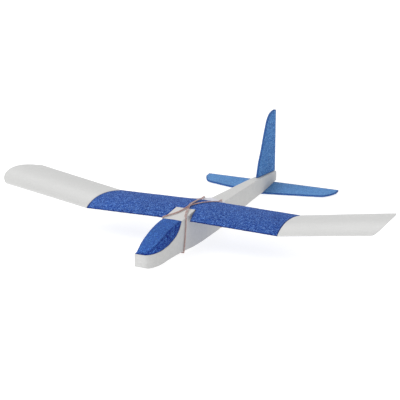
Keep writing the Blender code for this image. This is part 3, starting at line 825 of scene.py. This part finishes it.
def bandRoute(shift):
    # under the belly, up one side, crossing over the wing, round the boom behind it and back again
    clear = band["radius"] + body["clear"]
    side = body["half"] + clear
    grooveFront, grooveRear = body["groove"]
    rearY = (grooveFront + grooveRear) / 2
    rearSide = bodyHalf(grooveFront) + clear + body["clear"]
    flatEnd = flatEndZ()
    rearLow = flatEnd + body["grooveDepth"] - clear
    low, corner = band["lowZ"] - clear, band["corner"]
    flat = clear + 0.15
    crossed = flat + 2 * band["radius"] + body["clear"]
    crossX, crossY = band["crossing"]

    def halfLoop(hand, lift, humpY, leads, rearX):
        # x, y and z of each point, and how far the shift moves it across and along
        frontX, backX = hand * side, -hand * rearSide
        hump = humpTop(humpY) + clear + band["lift"]
        (nearX, nearY), (farX, farY) = leads
        turnX = rearX * 0.75 + backX * 0.25
        turnY = guardRear(turnX) + clear + band["slack"]
        overWing = []
        for share, y, above in (
            (0.0, crossY, lift), (0.33, crossY + 21, flat), (0.67, crossY + 44, flat),
            (1.0, wing["chord"] - wing["centreForward"] - 2, flat + 0.3),
        ):
            x = crossX + (rearX - crossX) * share
            overWing.append((x, y, wingHeight(y, x) + above, 1, 0))
        route = [
            (hand * (side - 3.5), band["lowY"], low, 0, 1),
            (frontX, band["lowY"] + 0.4, low + corner, 0, 1),
            (frontX, (band["lowY"] + humpY) / 2 + band["bow"], (low + hump) / 2, 0, 1),
            (frontX, humpY - 0.4, hump - 2.2, 0, 1),
            (hand * (side - corner), humpY + 3, hump + 0.2, 0.7, 0.7),
            (nearX, nearY, humpTop(nearY) + clear + band["lift"], 1, 0.3),
            (farX, farY, body["humpRear"] + (flat + lift) / 2 + band["lift"], 1, 0.2),
            *overWing,
            (turnX, turnY, 0.6, 0.9, 0.4),
            (rearX * 0.4 + backX * 0.6, turnY + 2.7, -3.2, 0.6, 0.8),
            (backX, rearY - 2.4, -11.0, 0, 1),
            (backX, rearY - 0.8, -28.0, 0, 1),
            (backX, rearY, rearLow + corner, 0, 1),
            (-hand * (rearSide - 3.5), rearY, rearLow, 0, 1),
        ]
        return [(x + hand * shift * across, y + shift * along, z) for x, y, z, across, along in route]

    first = halfLoop(1, crossed, band["humpY"][0], band["leads"][0], band["rearX"][0])
    second = halfLoop(-1, flat, band["humpY"][1], band["leads"][1], band["rearX"][1])
    return first + list(reversed(second))


def sweepLoop(name, line, profile, wander):
    # a closed strip of the profile (across, out) along a closed line, twisting as little as it can
    spots = [Vector(p) for p in line]
    count = len(spots)
    ways = [(spots[(i + 1) % count] - spots[i - 1]).normalized() for i in range(count)]
    out, outs = Vector((0, 0, -1)), []
    for way in ways:
        out = (out - way * out.dot(way)).normalized()
        outs.append(out)
    last = (out - ways[0] * out.dot(ways[0])).normalized()
    off = math.atan2(ways[0].dot(last.cross(outs[0])), last.dot(outs[0]))
    verts, faces = [], []
    size = len(profile)
    for i, spot in enumerate(spots):
        sway = math.radians(wander) * noise.noise(spot / 9 + Vector((seed, 0, 0)))
        up = Matrix.Rotation(off * i / count + sway, 3, ways[i]) @ outs[i]
        across = ways[i].cross(up)
        verts += [toWorld @ (spot + across * a + up * b) for a, b in profile]
        here, ahead = i * size, ((i + 1) % count) * size
        faces += [(here + k, here + (k + 1) % size, ahead + (k + 1) % size, ahead + k) for k in range(size)]
    mesh = bpy.data.meshes.new(name)
    mesh.from_pydata(verts, [], faces)
    bm = bmesh.new()
    bm.from_mesh(mesh)
    bmesh.ops.recalc_face_normals(bm, faces=bm.faces)
    bm.to_mesh(mesh)
    bm.free()
    mesh.shade_smooth()
    return addObject(name, mesh)


def rubberMaterial():
    material, tree, shader = startMaterial("bandRubber")
    place = addNode(tree, "ShaderNodeTexCoord").outputs["Object"]
    dust = addNoise(tree, place, band["dustScale"], 4.0, Roughness=0.65)
    grain = addNoise(tree, place, band["grainScale"], 2.0)
    sideShade = addNode(tree, "ShaderNodeAttribute", None, attribute_name="sideShadeShare").outputs["Fac"]
    # painted shade: the band's narrow sides are coloured darker than its broad faces
    colour = mixColour(tree, sideShade, band["broad"], band["sideShade"])
    talc = spread(tree, dust.outputs["Fac"], 0.42, 0.7, 0.0, band["talcShare"])
    colour = mixColour(tree, talc, colour, band["talc"])
    tree.links.new(colour, shader.inputs["Base Color"])
    rough = spread(tree, dust.outputs["Fac"], 0.3, 0.7, *band["roughness"])
    tree.links.new(rough, shader.inputs["Roughness"])
    addBump(tree, shader, grain.outputs["Fac"], band["bump"], band["bumpDepth"] * mm)
    shader.inputs["Subsurface Weight"].default_value = 0.1
    shader.inputs["Subsurface Radius"].default_value = (1.0, 0.3, 0.2)
    shader.inputs["Subsurface Scale"].default_value = band["glowDepth"] * mm
    return material


def makeBands():
    rubber = rubberMaterial()
    halfWide, halfThick = band["width"] / 2, band["thick"] / 2
    corners = [(a * halfWide, b * halfThick) for a, b in ((-1, -1), (1, -1), (1, 1), (-1, 1))]
    profile = roundedRing(corners, [band["cornerRadius"]] * 4, (3, 2, 3, 2))
    # the narrow sides of the profile, which get painted shade
    sideShade = [1.0 if abs(a) > halfWide - 0.12 else 0.0 for a, _ in profile]
    for name, node, shift in (
        ("bandFront", "rubber_band_front", -0.5), ("bandRear", "rubber_band_rear", 0.5)
    ):
        line = smoothLine(bandRoute(shift * band["spacing"]), band["steps"], True)
        piece = sweepLoop(name, line, profile, band["wander"])
        share = piece.data.attributes.new("sideShadeShare", "FLOAT", "POINT")
        share.data.foreach_set("value", np.array(sideShade * len(line), np.float32))
        piece.data.materials.append(rubber)
        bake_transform(piece)
        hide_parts(node)


makeBands()
print("bands made")

# ---- steel slug in the nose, hidden under the canopy

ballast = {
    "bright": (0.50, 0.50, 0.51), "dull": (0.30, 0.29, 0.28), "roughness": (0.3, 0.55),
    "ringScale": 900.0, "stainScale": 300.0, "bump": 0.2, "bumpDepth": 0.2,
}


def paintBallast():
    material, tree, shader = startMaterial("turnedSteel")
    place = addNode(tree, "ShaderNodeTexCoord").outputs["Object"]
    turned = {"Vector": place, "Scale": ballast["ringScale"], "Distortion": 1.5}
    rings = addNode(tree, "ShaderNodeTexWave", turned, wave_type="RINGS")
    stain = addNoise(tree, place, ballast["stainScale"], 4.0).outputs["Fac"]
    colour = mixColour(tree, spread(tree, stain, 0.4, 0.65), ballast["bright"], ballast["dull"])
    tree.links.new(colour, shader.inputs["Base Color"])
    smooth, rough = ballast["roughness"]
    tree.links.new(spread(tree, stain, 0.35, 0.65, smooth, rough), shader.inputs["Roughness"])
    addBump(tree, shader, rings.outputs["Fac"], ballast["bump"], ballast["bumpDepth"] * mm)
    shader.inputs["Metallic"].default_value = 1.0
    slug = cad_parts["nose_ballast"]
    slug.data.materials.clear()
    slug.data.materials.append(material)


paintBallast()
print("ballast painted")

# ---- camera, floor and lights

cameraSpot = {
    "place": (701.53, -1528.61, 604.20), "azimuth": 23.62, "elevation": 18.77, "lens": 112.51,
}
floorLook = {"half": 60.0, "base": 0.32, "roughness": 0.9, "specular": 0.1, "glow": 0.82}  # half in metres
light = {
    "skyStrength": 0.70, "keyPower": 25.0, "keyPlace": (-1.1, -1.3, 1.9), "keySize": 1.6,
    "rearPower": 13.0, "rearPlace": (-0.9, 2.0, 2.2), "rearSize": 1.4,
    "frontPower": 6.0, "frontPlace": (-0.5, -2.2, 0.7), "frontSize": 0.8,
}


def makeCamera():
    data = bpy.data.cameras.new("camera")
    camera = addObject("camera", data)
    data.lens = cameraSpot["lens"]
    turn = Euler((math.radians(90 - cameraSpot["elevation"]), 0, math.radians(cameraSpot["azimuth"])))
    place = Matrix.Translation(Vector(cameraSpot["place"]) * mm)
    camera.matrix_world = toGround @ place @ turn.to_matrix().to_4x4()
    data.clip_start, data.clip_end = 0.05, 50
    bpy.context.scene.camera = camera


def makeFloor():
    size = floorLook["half"]
    mesh = bpy.data.meshes.new("floor")
    corners = [(-size, -size, 0), (size, -size, 0), (size, size, 0), (-size, size, 0)]
    mesh.from_pydata(corners, [], [(0, 1, 2, 3)])
    floor = addObject("floor", mesh)
    material, tree, shader = startMaterial("paleFloor")
    shader.inputs["Base Color"].default_value = (*[floorLook["base"]] * 3, 1)
    shader.inputs["Roughness"].default_value = floorLook["roughness"]
    shader.inputs["Specular IOR Level"].default_value = floorLook["specular"]
    shader.inputs["Emission Color"].default_value = (1, 1, 1, 1)
    shader.inputs["Emission Strength"].default_value = floorLook["glow"]
    clear = addNode(tree, "ShaderNodeBsdfTransparent")
    behind = addNode(tree, "ShaderNodeNewGeometry").outputs["Backfacing"]
    mix = addNode(tree, "ShaderNodeMixShader", {0: behind, 1: shader.outputs[0], 2: clear.outputs[0]})
    tree.links.new(mix.outputs[0], tree.nodes["Material Output"].inputs["Surface"])
    mesh.materials.append(material)


def addSoftbox(name, power, size, place):
    # a round lamp that looks at the glider
    data = bpy.data.lights.new(name, "AREA")
    data.energy, data.size, data.shape = power, size, "DISK"
    lamp = addObject(name, data)
    lamp.location = place
    lamp.rotation_euler = (-Vector(place)).to_track_quat("-Z", "Y").to_euler()


def makeLight():
    world = bpy.data.worlds.new("studio")
    world.use_nodes = True
    sky = world.node_tree.nodes["Background"]
    sky.inputs["Color"].default_value = (1, 1, 1, 1)
    sky.inputs["Strength"].default_value = light["skyStrength"]
    bpy.context.scene.world = world
    addSoftbox("keySoftbox", light["keyPower"], light["keySize"], light["keyPlace"])
    addSoftbox("rearSoftbox", light["rearPower"], light["rearSize"], light["rearPlace"])
    addSoftbox("frontSoftbox", light["frontPower"], light["frontSize"], light["frontPlace"])


bpy.context.scene.view_settings.view_transform = "Standard"
makeCamera()
makeFloor()
makeLight()
print("camera, floor and lights made")
